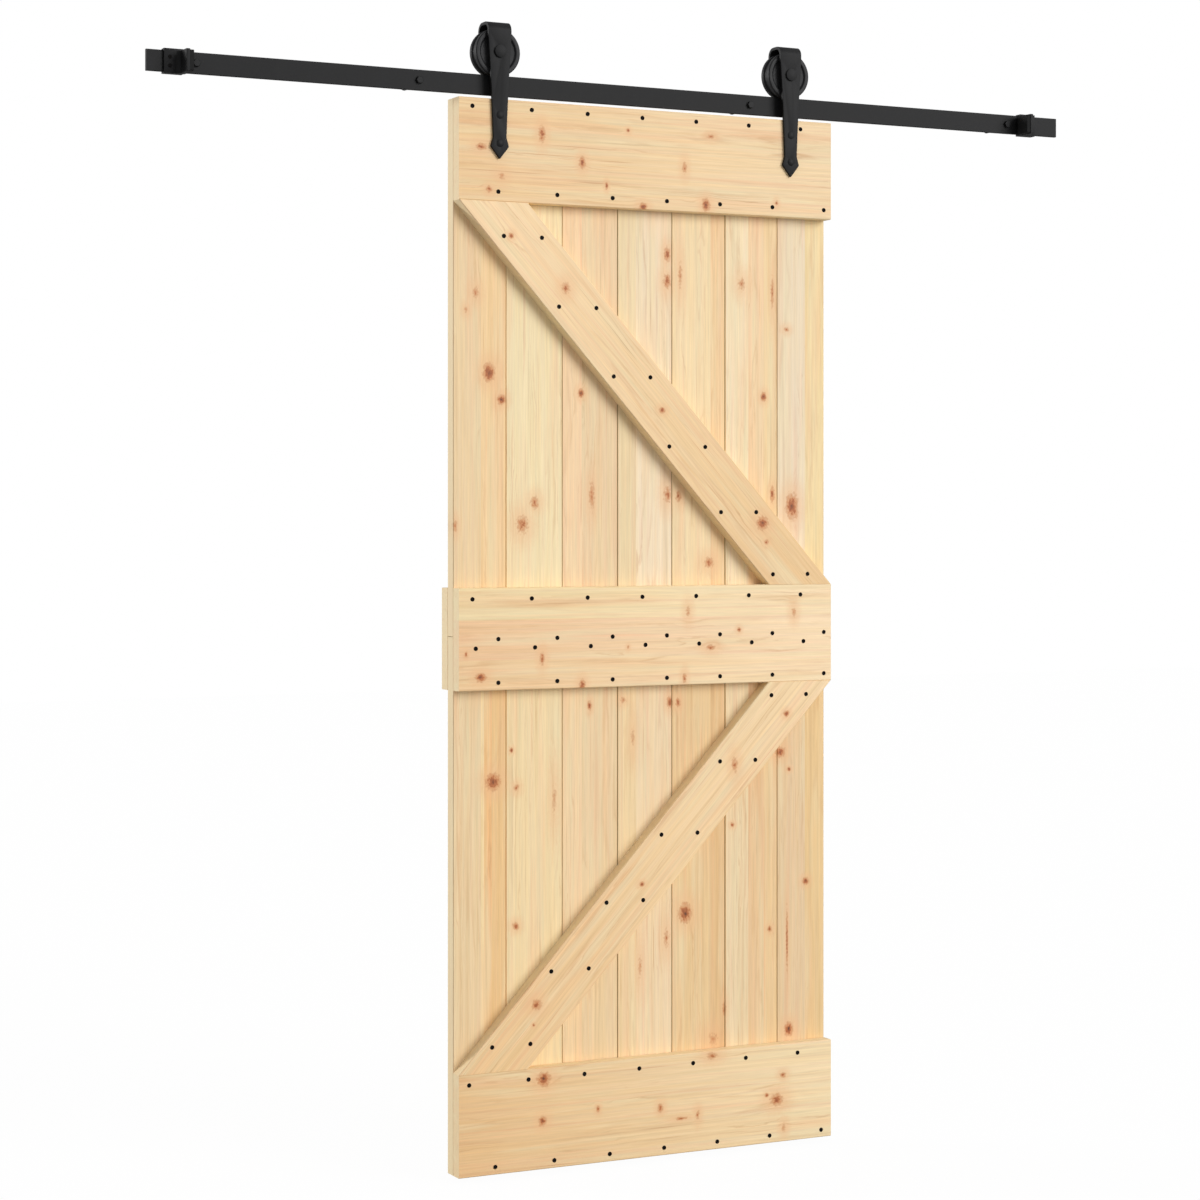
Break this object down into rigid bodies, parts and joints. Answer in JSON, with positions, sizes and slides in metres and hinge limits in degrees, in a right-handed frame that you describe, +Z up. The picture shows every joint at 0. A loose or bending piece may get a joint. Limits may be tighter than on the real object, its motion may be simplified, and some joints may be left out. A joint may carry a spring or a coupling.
{
  "type": "sliding door",
  "caption": "Pine plank door with K-shaped braces, hung on grooved wheels from a flat black steel track on the wall, with a stopper at each end.",
  "frame": {"origin": "centre of the wall face of the leftmost track spacer, on the track's centre line", "axes": "+X along the track to the right as seen from the room, +Y into the wall, +Z up"},
  "size_m": [2.04, 0.1228, 2.2513],
  "materials": {
    "pine_planks": "planed, unfinished",
    "pine_boards": "planed, unfinished",
    "strap_steel": "matt black powder coat",
    "wheel_steel": "satin black powder coat",
    "bolt_steel": "black oxide",
    "bumper_rubber": "matt black"
  },
  "bodies": {
    "wall_track": {"bumper_left": "bumper_rubber", "bumper_right": "bumper_rubber", "spacer_1": "strap_steel", "spacer_2": "strap_steel", "spacer_3": "strap_steel", "spacer_4": "strap_steel", "stopper_left": "strap_steel", "stopper_right": "strap_steel", "track": "strap_steel", "track_bolt_1": "bolt_steel", "track_bolt_2": "bolt_steel", "track_bolt_3": "bolt_steel", "track_bolt_4": "bolt_steel"},
    "door_leaf": {"axle_left": "bolt_steel", "axle_nut_left": "bolt_steel", "axle_nut_right": "bolt_steel", "axle_right": "bolt_steel", "back_board": "pine_boards", "bottom_rail": "pine_boards", "hanger_bolts_left": "bolt_steel", "hanger_bolts_right": "bolt_steel", "hanger_left": "strap_steel", "hanger_right": "strap_steel", "lower_brace": "pine_boards", "lower_plank_1": "pine_planks", "lower_plank_2": "pine_planks", "lower_plank_3": "pine_planks", "lower_plank_4": "pine_planks", "lower_plank_5": "pine_planks", "lower_plank_6": "pine_planks", "lower_plank_7": "pine_planks", "middle_rail": "pine_boards", "top_rail": "pine_boards", "upper_brace": "pine_boards", "upper_plank_1": "pine_planks", "upper_plank_2": "pine_planks", "upper_plank_3": "pine_planks", "upper_plank_4": "pine_planks", "upper_plank_5": "pine_planks", "upper_plank_6": "pine_planks", "upper_plank_7": "pine_planks"},
    "left_wheel": {"wheel_left": "wheel_steel"},
    "right_wheel": {"wheel_right": "wheel_steel"}
  },
  "joints": [
    {"name": "door_slide", "type": "slide", "parent": "wall_track", "child": "door_leaf", "axis": [1, 0, 0], "range_m": [-0.603, 0.547]},
    {"name": "left_wheel_spin", "type": "hinge", "parent": "door_leaf", "child": "left_wheel", "pos_m": [0.61, -0.0745, 0.0643], "axis": [0, 1, 0], "continuous": true},
    {"name": "right_wheel_spin", "type": "hinge", "parent": "door_leaf", "child": "right_wheel", "pos_m": [1.266, -0.0745, 0.0643], "axis": [0, 1, 0], "continuous": true}
  ],
  "couplings": [
    {"joint": "left_wheel_spin", "follows": "door_slide", "rad_per_m": 22.727},
    {"joint": "right_wheel_spin", "follows": "door_slide", "rad_per_m": 22.727}
  ]
}
